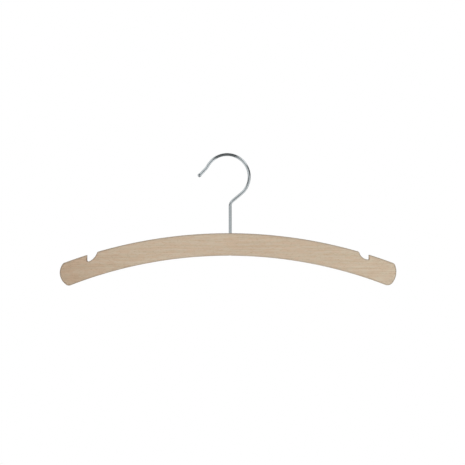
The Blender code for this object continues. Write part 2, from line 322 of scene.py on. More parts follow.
class Wiring:
    """Adds nodes to a node tree and joins them."""

    def __init__(self, tree: NodeTree) -> None:
        """Starts on an empty tree."""
        self.tree = tree
        tree.nodes.clear()

    def node(self, kind: str, feeds: Values | None = None, options: Values | None = None) -> Node:
        """Adds a node.

        Args:
            kind: the node's type, without its common ShaderNode beginning.
            feeds: input names or identifiers, each with a value or with the output that feeds it.
            options: the node's own settings.

        Returns:
            The node.
        """
        made = self.tree.nodes.new("ShaderNode" + kind)
        for name, value in (options or {}).items():
            setattr(made, name, value)
        for name, value in (feeds or {}).items():
            socket = self.socket(made.inputs, name)
            if isinstance(value, NodeSocket):
                self.tree.links.new(value, socket)
            else:
                socket.default_value = value
        return made

    @staticmethod
    def socket(sockets: Sequence[NodeSocket], name: str) -> NodeSocket:
        """The socket with this identifier, or else with this name."""
        by_identifier = {socket.identifier: socket for socket in sockets}
        return by_identifier[name] if name in by_identifier else sockets[name]

    def result_of(self, operation: str, *values: object) -> NodeSocket:
        """The result of a Math node on up to three numbers or outputs."""
        return self.node("Math", dict(zip(MATH_INPUTS, values)), {"operation": operation}).outputs[0]

    def step(self, value: object, low: float, high: float) -> NodeSocket:
        """Rises smoothly from 0 to 1 as a value goes from low to high."""
        feeds = {"Value": value, "From Min": low, "From Max": high}
        return self.node("MapRange", feeds, {"interpolation_type": "SMOOTHSTEP"}).outputs["Result"]

    def mixed_shader(self, share: object, first: Node, second: Node) -> Node:
        """A shader between two, by a share of the second."""
        feeds = {"Fac": share, "Shader": first.outputs[0], "Shader_001": second.outputs[0]}
        return self.node("MixShader", feeds)

    def mixed(self, share: object, first: object, second: object, blend: str = "MIX") -> NodeSocket:
        """Mixes two colours, or multiplies one by the other.

        Args:
            share: how much of the second is in the result, from 0 to 1.
            first: the first colour.
            second: the second colour.
            blend: the blend type, MIX or MULTIPLY.

        Returns:
            The resulting colour.
        """
        feeds = {"Factor_Float": share, "A_Color": first, "B_Color": second}
        made = self.node("Mix", feeds, {"data_type": "RGBA", "blend_type": blend})
        return self.socket(made.outputs, "Result_Color")

    def tinted(self, colour: object, tint: object, share: object) -> NodeSocket:
        """A colour multiplied by a tint, by a share of the tint."""
        return self.mixed(share, colour, tint, "MULTIPLY")

    def vector(self, operation: str, first: object, second: object) -> Node:
        """A Vector Math node on two vectors or outputs."""
        return self.node("VectorMath", {"Vector": first, "Vector_001": second}, {"operation": operation})

    def stretched_noise(self, place: object, cells: object, detail: float) -> NodeSocket:
        """Noise with so many cells in a metre along each axis, and with more, finer layers on top."""
        spread = self.vector("MULTIPLY", place, cells).outputs[0]
        return self.node("TexNoise", {"Vector": spread, "Scale": 1.0, "Detail": detail}).outputs[0]

    def centred(self, noise: object) -> NodeSocket:
        """A noise value that swings round zero."""
        return self.result_of("SUBTRACT", noise, NOISE_MIDDLE)

    def bumped(self, height: object, distance: float) -> NodeSocket:
        """Normals of a surface whose height goes from 0 to 1 over a distance."""
        return self.node("Bump", {"Height": height, "Distance": distance, "Strength": 1.0}).outputs[0]

    def surface(self, shader: Node) -> None:
        """Makes a shader the material's surface."""
        self.node("OutputMaterial", {"Surface": shader.outputs[0]})


class GroupWiring(Wiring):
    """Adds nodes to a new shader node group, whose outputs are all values."""

    def __init__(self, name: str, inputs: Mapping[str, str]) -> None:
        """Starts a group.

        Args:
            name: the group's name.
            inputs: the names of its inputs, each with its socket type.
        """
        super().__init__(bpy.data.node_groups.new(name, "ShaderNodeTree"))
        for label, kind in inputs.items():
            self.tree.interface.new_socket(label, in_out="INPUT", socket_type=kind)
        self.given = self.tree.nodes.new("NodeGroupInput").outputs

    def put_out(self, values: Mapping[str, NodeSocket]) -> NodeTree:
        """Finishes the group.

        Args:
            values: the names of its outputs, each with what feeds it.

        Returns:
            The group.
        """
        end = self.tree.nodes.new("NodeGroupOutput")
        for label, value in values.items():
            self.tree.interface.new_socket(label, in_out="OUTPUT", socket_type="NodeSocketFloat")
            self.tree.links.new(value, end.inputs[label])
        return self.tree


class Noise(NamedTuple):
    """A noise: how many cells in a metre along each axis, and how many finer layers."""

    cells: Triple
    detail: float


@dataclass(frozen=True)
class LevelGrain:
    """Grain of a pale hardwood whose fibres run along X.

    Rings are noise drawn out along X and swayed by slower noise, fibres are finer noise drawn out
    less, and flecks are where a fine noise of short cells is strongest. Blush is where the wood is
    a little redder, in short patches along the rings.
    """

    sway: float = 0.0016
    slow_noise: Noise = Noise((7.0, 60.0, 40.0), 1.0)
    ring_noise: Noise = Noise((10.0, 180.0, 720.0), 2.0)
    fibre_noise: Noise = Noise((32.0, 1900.0, 1900.0), 3.0)
    fleck_noise: Noise = Noise((420.0, 3400.0, 3400.0), 0.0)
    blush_noise: Noise = Noise((95.0, 240.0, 440.0), 1.0)
    fleck_range: Range = (0.66, 0.78)
    fleck_height: float = -0.6
    ring_height: float = 0.4

    def group(self) -> NodeTree:
        """Makes the shader node group.

        Returns:
            The group, which takes a place in metres.
        """
        wiring = GroupWiring("level_grain", {"Place": "NodeSocketVector"})
        place = wiring.given["Place"]
        slow = wiring.centred(wiring.stretched_noise(place, *self.slow_noise))
        shift = wiring.node("CombineXYZ", {"Z": wiring.result_of("MULTIPLY", slow, self.sway)})
        swayed = wiring.vector("ADD", place, shift.outputs[0]).outputs[0]
        rings = wiring.stretched_noise(swayed, *self.ring_noise)
        fibres = wiring.stretched_noise(swayed, *self.fibre_noise)
        flecks = wiring.step(wiring.stretched_noise(swayed, *self.fleck_noise), *self.fleck_range)
        raised = wiring.result_of("MULTIPLY_ADD", flecks, self.fleck_height, fibres)
        return wiring.put_out(
            {
                "Rings": rings,
                "Fibres": fibres,
                "Flecks": flecks,
                "Blush": wiring.stretched_noise(swayed, *self.blush_noise),
                "Height": wiring.result_of("MULTIPLY_ADD", rings, self.ring_height, raised),
            }
        )


def handling_group() -> NodeTree:
    """Marks of making and use on metal: hairlines drawn out one way, and slow patches.

    Returns:
        The shader node group.
    """
    inputs = {
        "Place": "NodeSocketVector",
        "Line Scale": "NodeSocketVector",
        "Patch Scale": "NodeSocketFloat",
    }
    wiring = GroupWiring("handling", inputs)
    place = wiring.given["Place"]
    lines = wiring.stretched_noise(place, wiring.given["Line Scale"], LINE_DETAIL)
    feeds = {"Vector": place, "Scale": wiring.given["Patch Scale"], "Detail": PATCH_DETAIL}
    return wiring.put_out({"Hairlines": lines, "Patches": wiring.node("TexNoise", feeds).outputs[0]})


def new_material(name: str) -> tuple[Material, Wiring]:
    """Makes a material with an empty node tree.

    Args:
        name: its name.

    Returns:
        The material and its wiring.
    """
    made = bpy.data.materials.new(name)
    made.use_nodes = True
    return made, Wiring(made.node_tree)


def opaque(colour: Colour) -> tuple[float, float, float, float]:
    """A colour with full alpha, as a socket takes it."""
    return (*colour, 1.0)


class Tint(NamedTuple):
    """A colour that multiplies the wood's, and the range over which its share rises from 0 to 1."""

    colour: Colour
    over: Range


@dataclass(frozen=True)
class SandedWood:
    """Pale close-grained hardwood, sanded and sealed with a thin satin coat.

    The colour is that of the wood's middle. The tints' ranges are of X for painted light, darker
    towards the left end and lighter towards the right end, of noise for the grain, and of how far
    the surface faces along X or Y for the end grain and for painted shade on the rounded edges.
    """

    name: str = "sanded_wood"
    colour: Colour = (0.5465, 0.4505, 0.3425)
    # painted light along X: the left end darkened and the right end lightened, a gradient of light, not of
    # the wood
    left_end: Tint = Tint((0.824, 0.778, 0.743), (-0.09, -0.23))
    right_end: Tint = Tint((1.06, 1.09, 1.10), (0.06, 0.24))
    late_wood: Tint = Tint((0.925, 0.915, 0.885), (0.36, 0.66))
    blush: Tint = Tint((1.0, 0.94, 0.915), (0.40, 0.60))
    fibre: Tint = Tint((0.90, 0.89, 0.87), (0.35, 0.75))
    fleck: Colour = (0.76, 0.71, 0.66)
    end_grain: Tint = Tint((0.78, 0.74, 0.69), (0.45, 0.95))
    # painted shade: the rounded edges and the narrow faces, which turn away from the front, darkened
    edge: Tint = Tint((0.93, 0.935, 0.945), (0.995, 0.80))
    roughness: float = 0.52
    roughness_change: float = 0.12
    specular: float = 0.30
    bump_height: float = 0.00004

    def material(self, grain: NodeTree) -> Material:
        """Makes the material.

        Args:
            grain: the level grain group.

        Returns:
            A material on Object coordinates.
        """
        made, wiring = new_material(self.name)
        coordinates = wiring.node("TexCoord").outputs
        place = coordinates["Object"]
        figure = wiring.node("Group", {"Place": place}, {"node_tree": grain}).outputs
        along = wiring.node("SeparateXYZ", {"Vector": place}).outputs["X"]
        facing = wiring.node("SeparateXYZ", {"Vector": coordinates["Normal"]}).outputs
        endwise = wiring.result_of("ABSOLUTE", facing["X"])
        level = wiring.result_of("ABSOLUTE", facing["Y"])

        colour = wiring.tinted(opaque(self.colour), opaque(self.fleck), figure["Flecks"])
        for tint, measure in (
            # painted light: darker towards the left end, lighter towards the right end
            (self.left_end, along),
            (self.right_end, along),
            (self.late_wood, figure["Rings"]),
            (self.blush, figure["Blush"]),
            (self.fibre, figure["Fibres"]),
            (self.end_grain, endwise),
            # painted shade where the surface turns away from the front: rounded edges and narrow faces
            (self.edge, level),
        ):
            colour = wiring.tinted(colour, opaque(tint.colour), wiring.step(measure, *tint.over))

        swing = wiring.centred(figure["Fibres"])
        feeds = {
            "Base Color": colour,
            "Roughness": wiring.result_of("MULTIPLY_ADD", swing, self.roughness_change, self.roughness),
            "Specular IOR Level": self.specular,
            "Normal": wiring.bumped(figure["Height"], self.bump_height),
        }
        wiring.surface(wiring.node("BsdfPrincipled", feeds))
        return made


@dataclass(frozen=True)
class Plating:
    """A plated steel surface, with hairlines and slow patches of dullness.

    The map decides what the hairlines follow: the piece's own map along a wire, or its place.
    """

    name: str
    colour: Colour
    patch_tint: Colour
    roughness: float
    patch_roughness: float
    line_scale: Triple
    patch_scale: float
    line_height: float
    follows_map: bool
    patch_range: Range = (0.42, 0.70)

    def material(self, handling: NodeTree) -> Material:
        """Makes the material.

        Args:
            handling: the group of hairlines and patches.

        Returns:
            A metallic material.
        """
        made, wiring = new_material(self.name)
        place = wiring.node("TexCoord").outputs["UV" if self.follows_map else "Object"]
        scales = {"Place": place, "Line Scale": self.line_scale, "Patch Scale": self.patch_scale}
        marks = wiring.node("Group", scales, {"node_tree": handling}).outputs
        dull = wiring.step(marks["Patches"], *self.patch_range)
        feeds = {
            "Base Color": wiring.tinted(opaque(self.colour), opaque(self.patch_tint), dull),
            "Roughness": wiring.result_of("MULTIPLY_ADD", dull, self.patch_roughness, self.roughness),
            "Metallic": 1.0,
            "Normal": wiring.bumped(marks["Hairlines"], self.line_height),
        }
        wiring.surface(wiring.node("BsdfPrincipled", feeds))
        return made


SANDED_WOOD = SandedWood()
CUT_WOOD = SandedWood(
    name="cut_wood",
    colour=(0.47, 0.38, 0.29),
    roughness=0.66,
    specular=0.2,
    bump_height=0.00008,
)
BRIGHT_WIRE = Plating(
    name="bright_wire",
    colour=(0.80, 0.82, 0.83),
    patch_tint=(0.975, 0.975, 0.97),
    roughness=0.07,
    patch_roughness=0.05,
    line_scale=(40.0, 2600.0, 1.0),
    patch_scale=220.0,
    line_height=0.000002,
    follows_map=True,
)
ZINC = Plating(
    name="zinc_plate",
    colour=(0.60, 0.61, 0.62),
    patch_tint=(0.86, 0.88, 0.84),
    roughness=0.32,
    patch_roughness=0.16,
    line_scale=(700.0, 700.0, 5000.0),
    patch_scale=420.0,
    line_height=0.000008,
    follows_map=False,
)


# The hanger's pieces

@dataclass(frozen=True)
class BoardEnd:
    """One end of the board: an arc that meets the long arcs in two eased corners.

    The share is of the half circle that would just fit between the long arcs, and the lift is
    how far the arc's middle lies above halfway between them.
    """

    arc_share: float
    arc_lift: float
    top_cut: float
    bottom_cut: float


@dataclass(frozen=True)
class StrapNotch:
    """One notch: a round ramp that slopes into a small round root, and a steep wall."""

    side: Side
    reach: float
    depth: float
    ramp_radius: float
    ramp_slope: float
    root_radius: float


@dataclass
class ArchedBoard:
    """The board: sawn to two arcs, rounded along its edges, notched for straps and bored.

    Places in the board's own plane are (x, z) from the middle of its top edge.
    """

    middle_x: float
    top_z: float
    bore_offset: float
    span: float
    thickness: float = 0.0120
    depth: float = 0.0281
    top_radius: float = 0.5870
    bottom_radius: float = 0.5447
    edge_round: float = 0.0025
    left_end: BoardEnd = BoardEnd(arc_share=1.17, arc_lift=0.0, top_cut=0.0010, bottom_cut=0.0026)
    right_end: BoardEnd = BoardEnd(arc_share=1.50, arc_lift=0.0010, top_cut=0.0019, bottom_cut=0.0055)
    notches: tuple[StrapNotch, ...] = (
        StrapNotch(
            Side.LEFT, reach=0.1742, depth=0.0087,
            ramp_radius=0.0184, ramp_slope=math.radians(23.5), root_radius=0.0018,
        ),
        StrapNotch(
            Side.RIGHT, reach=0.1745, depth=0.0065,
            ramp_radius=0.0122, ramp_slope=math.radians(5.0), root_radius=0.0012,
        ),
    )
    undercut: float = 0.0001
    rim_cut: float = 0.0018
    lip_cut: float = 0.0010
    mouth_flare: float = math.radians(15.0)
    notch_ease: float = 0.0016
    lip_ease: float = 0.0005
    ease_crease: float = math.radians(12.0)
    notch_run_share: float = 0.25
    bore_run_share: float = 1.0
    bore_radius: float = 0.0023
    counterbore_radius: float = 0.00459
    counterbore_ceiling: float = -0.0181
    bore_ease: float = 0.0003
    overrun: float = 0.0020
    long_steps: int = 84
    corner_steps: int = 8
    end_steps: int = 16
    round_steps: int = 10
    notch_steps: int = 30
    bore_sides: int = 72

    @property
    def lip_points(self) -> int:
        """How many points at the end of a notch line belong to its lip."""
        return self.corner_steps + 2

    def centres(self) -> tuple[Array, Array]:
        """The middles of the top and the bottom arc."""
        return np.array([0.0, -self.top_radius]), np.array([0.0, -self.depth - self.bottom_radius])

    def top_height(self, reach: float) -> float:
        """Height of the top edge: the top circle, sqrt(R^2 - x^2) - R."""
        return math.sqrt(self.top_radius ** 2 - reach ** 2) - self.top_radius

    def bottom_height(self, reach: float) -> float:
        """Height of the bottom edge: the bottom circle, below the depth of the board."""
        return math.sqrt(self.bottom_radius ** 2 - reach ** 2) - self.bottom_radius - self.depth

    def placed(self, plan: Array, y: Array) -> Array:
        """Places in the world of points (x, z) of the board's plane, at depths y."""
        x, z, y = np.broadcast_arrays(plan[..., 0] + self.middle_x, plan[..., 1] + self.top_z, y)
        return np.stack([x, y, z], axis=-1)

    def edges(self, end: BoardEnd) -> tuple[Array, Array]:
        """Half of the top edge and of the bottom edge, point for point, as on the right.

        Each runs from the board's middle along its long arc, round an eased corner, and along the
        end arc to the point of the end that both share.

        Args:
            end: the measures of this end.

        Returns:
            The points of the two edges, as many on each.
        """
        top_centre, bottom_centre = self.centres()
        reach = (self.span - self.depth) / 2
        depth_there = self.top_height(reach) - self.bottom_height(reach)
        radius = end.arc_share * depth_there / 2
        level = self.top_height(reach) - depth_there / 2 + end.arc_lift
        centre = np.array([self.span / 2 - radius, level])
        circles = [(top_centre, self.top_radius), (bottom_centre, self.bottom_radius)]
        corners = [circles_meet(*circle, centre, radius, -1) for circle in circles]
        point_angle = sum(angle_at(centre, corner) for corner in corners) / 2
        halves = []
        cuts = [(-1, end.top_cut), (1, end.bottom_cut)]
        for (long_centre, long_radius), corner, (turn, cut) in zip(circles, corners, cuts):
            long_end = angle_at(long_centre, corner) + cut / long_radius
            end_start = angle_at(centre, corner) + turn * cut / radius
            long_arc = arc(long_centre, long_radius, QUARTER_TURN, long_end, self.long_steps)
            end_arc = arc(centre, radius, end_start, point_angle, self.end_steps)
            ease = eased_corner(long_arc[-1], corner, end_arc[0], self.corner_steps)
            halves.append(np.concatenate([long_arc, ease, end_arc]))
        return halves[0], halves[1]

    def blank(self, material: Material) -> Object:
        """The board without its notches and bores.

        The surface is a grid: its rows are places along the board, and its columns go round the
        section there. With a the angle round the edge and r its radius, the section's points lie
        r (1 - cos a) in from the outline and r (1 - sin a) in from the face.

        Args:
            material: its finish.

        Returns:
            The blank.
        """
        halves = zip(self.edges(self.left_end), self.edges(self.right_end))
        top, bottom = (np.concatenate([mirrored(left), right[1:]]) for left, right in halves)
        loop = np.concatenate([top, bottom[-2:0:-1]])
        inward = -left_normals(loop)
        count = len(top)
        top_inward = inward[:count]
        bottom_inward = np.concatenate([inward[:1], inward[count:][::-1], inward[count - 1 : count]])

        turn = np.linspace(QUARTER_TURN, 0, self.round_steps + 1)
        inset = self.edge_round * (1 - np.cos(turn))
        front = -self.thickness / 2 + self.edge_round * (1 - np.sin(turn))
        insets = np.concatenate([inset, inset[::-1]])
        depths = np.concatenate([front, -front[::-1]])
        upper = top[:, None] + top_inward[:, None] * insets[None, :, None]
        lower = bottom[:, None] + bottom_inward[:, None] * insets[None, ::-1, None]
        ring = np.concatenate([upper, lower], axis=1)
        ring_depths = np.concatenate([depths, depths[::-1]])
        return closed_piece("sanded_board", self.placed(ring, ring_depths), material)

    def mouth(self, run_share: float) -> tuple[Array, Array]:
        """The rounding of the wood's edge where a cut leaves it, for a radius of 1.

        At an angle a round the edge a point lies 1 - cos a out from the cut, and its height has
        risen by sin a, up to the wood's face. A last point goes straight on from there.

        Args:
            run_share: how far it goes on, as a share of the radius.

        Returns:
            How far out each point lies, and how high over the face.
        """
        last = QUARTER_TURN - self.ease_crease
        turn = np.linspace(0, last, self.round_steps + 1)
        out = np.append(1 - np.cos(turn), 1 - math.cos(last) + run_share * math.sin(last))
        rise = np.append(np.sin(turn) - math.sin(last), run_share * math.cos(last))
        return out, rise

    def notch_line(self, notch: StrapNotch) -> Array:
        """A notch as on the right half of the board, from above its rim to above its lip.

        Args:
            notch: its measures.

        Returns:
            Its points.
        """
        top_centre, _ = self.centres()
        join = -QUARTER_TURN - notch.ramp_slope
        root_height = self.top_height(notch.reach) - notch.depth + notch.root_radius
        root_centre = np.array([notch.reach, root_height])
        ramp_centre = root_centre - (notch.ramp_radius - notch.root_radius) * ray(join)

        rim = circles_meet(top_centre, self.top_radius, ramp_centre, notch.ramp_radius, 1)
        ramp_start = angle_at(ramp_centre, rim) % FULL_TURN + self.rim_cut / notch.ramp_radius
        ramp = arc(ramp_centre, notch.ramp_radius, ramp_start, FULL_TURN + join, self.notch_steps)
        rim_angle = angle_at(top_centre, rim) + self.rim_cut / self.top_radius
        rim_edge = top_centre + self.top_radius * ray(rim_angle)
        rim_way = ray(rim_angle + QUARTER_TURN - self.mouth_flare)

        lip_reach = notch.reach + notch.root_radius - self.undercut
        lip = np.array([lip_reach, self.top_height(lip_reach)])
        lip_angle = angle_at(top_centre, lip) - self.lip_cut / self.top_radius
        lip_edge = top_centre + self.top_radius * ray(lip_angle)
        lip_way = ray(lip_angle - QUARTER_TURN + self.mouth_flare)

        to_lip = lip - root_centre
        wall_angle = angle_at(root_centre, lip) - math.acos(notch.root_radius / np.hypot(*to_lip))
        root = arc(root_centre, notch.root_radius, join, wall_angle, self.notch_steps)
        wall = root[-1] - lip
        wall_top = lip + wall / np.hypot(*wall) * self.lip_cut

        run = notch.ramp_radius
        return np.concatenate(
            [
                [rim_edge + rim_way * run, rim_edge],
                eased_corner(rim_edge, rim, ramp[0], self.corner_steps),
                ramp,
                root[1:],
                [wall_top],
                eased_corner(wall_top, lip, lip_edge, self.corner_steps),
                [lip_edge, lip_edge + lip_way * run],
            ]
        )

    def notch_cutter(self, notch: StrapNotch, material: Material) -> Object:
        """What a notch takes away: its line carried through the board, eased at both faces.

        The lip is rounded less than the rest.

        Args:
            notch: its measures.
            material: the finish of the cut.

        Returns:
            The cutter.
        """
        line = self.notch_line(notch)
        outward = -left_normals(line)
        ease = np.full(len(line), self.notch_ease)
        ease[-self.lip_points :] = self.lip_ease
        out, rise = self.mouth(self.notch_run_share)
        out = np.append(out, out[-1])[:, None] * ease
        half = self.thickness / 2
        past_face = np.full((2, len(line)), half + self.overrun)
        depth = np.concatenate([half + rise[:, None] * ease, past_face])
        rings = line + outward * out[..., None]
        rings = np.concatenate([rings, np.broadcast_to(rings[-1:].mean(axis=1), rings[:1].shape)])
        rings = np.concatenate([rings[::-1], rings]) * np.array([notch.side.value, 1])
        depths = np.concatenate([-depth[::-1], depth])
        name = "notch_cutter_" + notch.side.name.lower()
        return closed_piece(name, self.placed(rings, depths), material)

    def bore_cutter(self, material: Material) -> Object:
        """The bore for the wire and the counterbore for its nut, eased at both mouths.

        Args:
            material: the finish of the cut.

        Returns:
            The cutter.
        """
        out, rise = self.mouth(self.bore_run_share)
        out = self.bore_ease * out
        rise = self.bore_ease * rise
        mouths = []
        for radius, height, way in (
            (self.bore_radius, self.top_height(self.bore_offset), 1),
            (self.counterbore_radius, self.bottom_height(self.bore_offset), -1),
        ):
            radii = np.concatenate([radius + out, [radius + out[-1], 0]])
            heights = np.concatenate([height + way * rise, [height + way * self.overrun] * 2])
            mouths.append(np.stack([radii, heights], axis=1))
        radii = (self.bore_radius, self.counterbore_radius)
        ceiling = [[radius, self.counterbore_ceiling] for radius in radii]
        profile = np.concatenate([mouths[0][::-1], ceiling, mouths[1]])
        axis = np.array([self.middle_x + self.bore_offset, 0.0, self.top_z])
        return turned_piece("bore_cutter", profile, self.bore_sides, axis, material)

    def build(self, faces: Material, cuts: Material) -> Object:
        """Cuts the blank and dresses it.

        Args:
            faces: the finish of the sanded outside.
            cuts: the finish of the notches and bores.

        Returns:
            The board.
        """
        board = self.blank(faces)
        cutters = [self.notch_cutter(notch, cuts) for notch in self.notches]
        cutters.append(self.bore_cutter(cuts))
        cut_away(board, cutters)
        shade(board)
        return board


@dataclass
class WireHook:
    """The hook: one wire, threaded and peened below the board, bent round and beaded at its tip.

    Its centre line is found from its curvature: the heading is the running sum of the curvature,
    and the place is the running sum of the heading's unit vector.
    """

    axis_x: float
    top_z: float
    wire_radius: float = 0.0019
    shaft_rise: float = 0.0341
    neck_radius: float = 0.0080
    neck_angle: float = math.radians(-50.3)
    neck_run: float = 0.0143
    crook_radius: float = 0.0276
    crook_angle: float = math.radians(200.4)
    flare_radius: float = 0.0250
    flare_angle: float = math.radians(-13.8)
    tip_run: float = 0.0100
    bead_radius: float = 0.0024
    bead_collar: float = 0.00025
    bead_reach_share: float = 1.6
    head_base: float = -0.0232
    head_length: float = 0.0012
    head_shoulder: float = 0.0002
    head_radius: float = 0.0027
    thread_top: float = -0.0150
    thread_pitch: float = 0.0007
    thread_height: float = 0.00028
    thread_cut_share: float = 0.6
    thread_fade_turns: float = 2.0
    spring_back: float = 0.0012
    flattening: float = 0.03
    step: float = 0.00035
    sum_steps: int = 4
    thread_steps: int = 10
    head_steps: int = 8
    shoulder_steps: int = 4
    bead_steps: int = 23
    tip_steps: int = 13
    sides: int = 56

    def bends(self) -> list[tuple[float, float]]:
        """The stretches of the wire, from the board's top edge to the bead's middle.

        Returns:
            The length and the curvature of each.
        """
        return [
            (self.shaft_rise, 0.0),
            (self.neck_radius * abs(self.neck_angle), -1 / self.neck_radius),
            (self.neck_run, 0.0),
            (self.crook_radius * abs(self.crook_angle), 1 / self.crook_radius),
            (self.flare_radius * abs(self.flare_angle), -1 / self.flare_radius),
            (self.tip_run, 0.0),
        ]

    def length(self) -> float:
        """Length of the wire from the board's top edge to the bead's middle."""
        return sum(run for run, _ in self.bends())

    def centre_line(self, distance: Array) -> tuple[Array, Array, Array]:
        """Place, heading and curvature of the wire at distances from the board's top edge.

        Args:
            distance: how far along the wire, below zero under the board's top edge.

        Returns:
            Points (x, z), headings and curvatures, by interpolation from a fine running sum.
        """
        fine = np.arange(0, self.length() + 2 * self.bead_radius, self.step / self.sum_steps)
        gap = fine[1] - fine[0]
        curvature = np.zeros_like(fine)
        start = 0.0
        for run, bend in self.bends():
            curvature[(fine >= start) & (fine < start + run)] = bend
            start += run
        reach = int(self.spring_back / gap)
        weights = np.hanning(2 * reach + 1)
        curvature = np.convolve(curvature, weights / weights.sum(), mode="same")
        heading = QUARTER_TURN + np.concatenate([[0], np.cumsum(curvature[1:] + curvature[:-1]) * gap / 2])
        ways = ray(heading)
        places = np.concatenate([[[0, 0]], np.cumsum(ways[1:] + ways[:-1], axis=0) * gap / 2])
        x = np.interp(distance, fine, places[:, 0])
        z = np.where(distance < 0, distance, np.interp(distance, fine, places[:, 1]))
        headings = np.interp(distance, fine, heading)
        return np.stack([x, z], axis=1), headings, np.interp(distance, fine, curvature)

    def stations(self) -> Array:
        """Distances along the wire at which its rings stand, closer in the thread and the ends.

        Returns:
            The distances, from the peened end to the tip.
        """
        over_head = np.linspace(0, QUARTER_TURN, self.head_steps + 1)
        head = self.head_base - self.head_length * np.cos(over_head)
        shoulder = self.head_base + self.head_shoulder * np.linspace(0, 1, self.shoulder_steps + 1)[1:]
        thread_gap = self.thread_pitch / self.thread_steps
        thread = np.arange(shoulder[-1] + thread_gap, self.thread_top, thread_gap)
        middle = self.length()
        bead_reach = self.bead_reach_share * self.bead_radius
        wire = np.arange(self.thread_top, middle - bead_reach, self.step)
        bead = middle - bead_reach * np.cos(np.linspace(0, QUARTER_TURN, self.bead_steps + 1))
        tip = middle + self.bead_radius * np.sin(np.linspace(0, QUARTER_TURN, self.tip_steps + 1))[1:]
        return np.concatenate([head, shoulder, thread, wire, bead, tip])

    def radii(self, distance: Array, turn: Array) -> Array:
        """Radius of the wire at each distance along it and each angle round it.

        The plain wire is its radius. The head is the dome R sin a at a distance L cos a, the bead
        is the sphere sqrt(R^2 - s^2) joined to the wire by a rounded collar, and the thread is a
        wave about the wire's radius, which fades out at its top.

        Args:
            distance: distances along the wire, as a column.
            turn: angles round the wire, as a row.

        Returns:
            The radii, one row for each distance.
        """
        plain = np.full_like(distance, self.wire_radius)
        from_tip = distance - self.length()
        ball = np.sqrt(np.clip(self.bead_radius ** 2 - from_tip ** 2, 0, None))
        beaded = np.where(from_tip < 0, smooth_maximum(plain, ball, self.bead_collar), ball)
        into_head = np.clip((self.head_base - distance) / self.head_length, 0, 1)
        dome = self.head_radius * np.sqrt(1 - into_head ** 2)
        shoulder = np.clip((distance - self.head_base) / self.head_shoulder, 0, 1)
        head = dome + (self.wire_radius - self.head_radius) * shoulder
        radius = np.where(distance < self.head_base + self.head_shoulder, head, beaded)
        wave = thread_wave(distance, turn, self.thread_pitch) - self.thread_cut_share
        above_head = distance - self.head_base - self.head_shoulder
        fade_in = np.clip(above_head / self.thread_pitch, 0, 1)
        fade_run = self.thread_fade_turns * self.thread_pitch
        fade_out = np.clip((self.thread_top - distance) / fade_run, 0, 1)
        return radius + self.thread_height * wave * fade_in * fade_out

    def build(self, material: Material) -> Object:
        """Carries the section along the wire and dresses it.

        With n the normal in the plane of the board and y the direction through it, a point is the
        centre line + r (n cos a + y sin a). Where the wire is bent it is a little flatter along n.

        Args:
            material: the finish of the wire.

        Returns:
            The hook.
        """
        distance = self.stations()
        turn = np.linspace(0, FULL_TURN, self.sides, endpoint=False)
        places, heading, curvature = self.centre_line(distance)
        radius = self.radii(distance[:, None], turn[None])
        normal = ray(heading + QUARTER_TURN)
        flat = self.flattening * np.abs(curvature[:, None]) * self.neck_radius
        in_plane = radius * np.cos(turn) * (1 - flat)
        through = radius * np.sin(turn) * (1 + flat / 2)
        x = self.axis_x + places[:, :1] + normal[:, :1] * in_plane
        z = self.top_z + places[:, 1:] + normal[:, 1:] * in_plane
        around = np.linspace(0, FULL_TURN * self.wire_radius, self.sides + 1)
        points = np.stack([x, through, z], axis=-1)
        hook = closed_piece("wire_hook", points, material, grid_map(distance, around))
        hook.data.shade_smooth()
        return hook


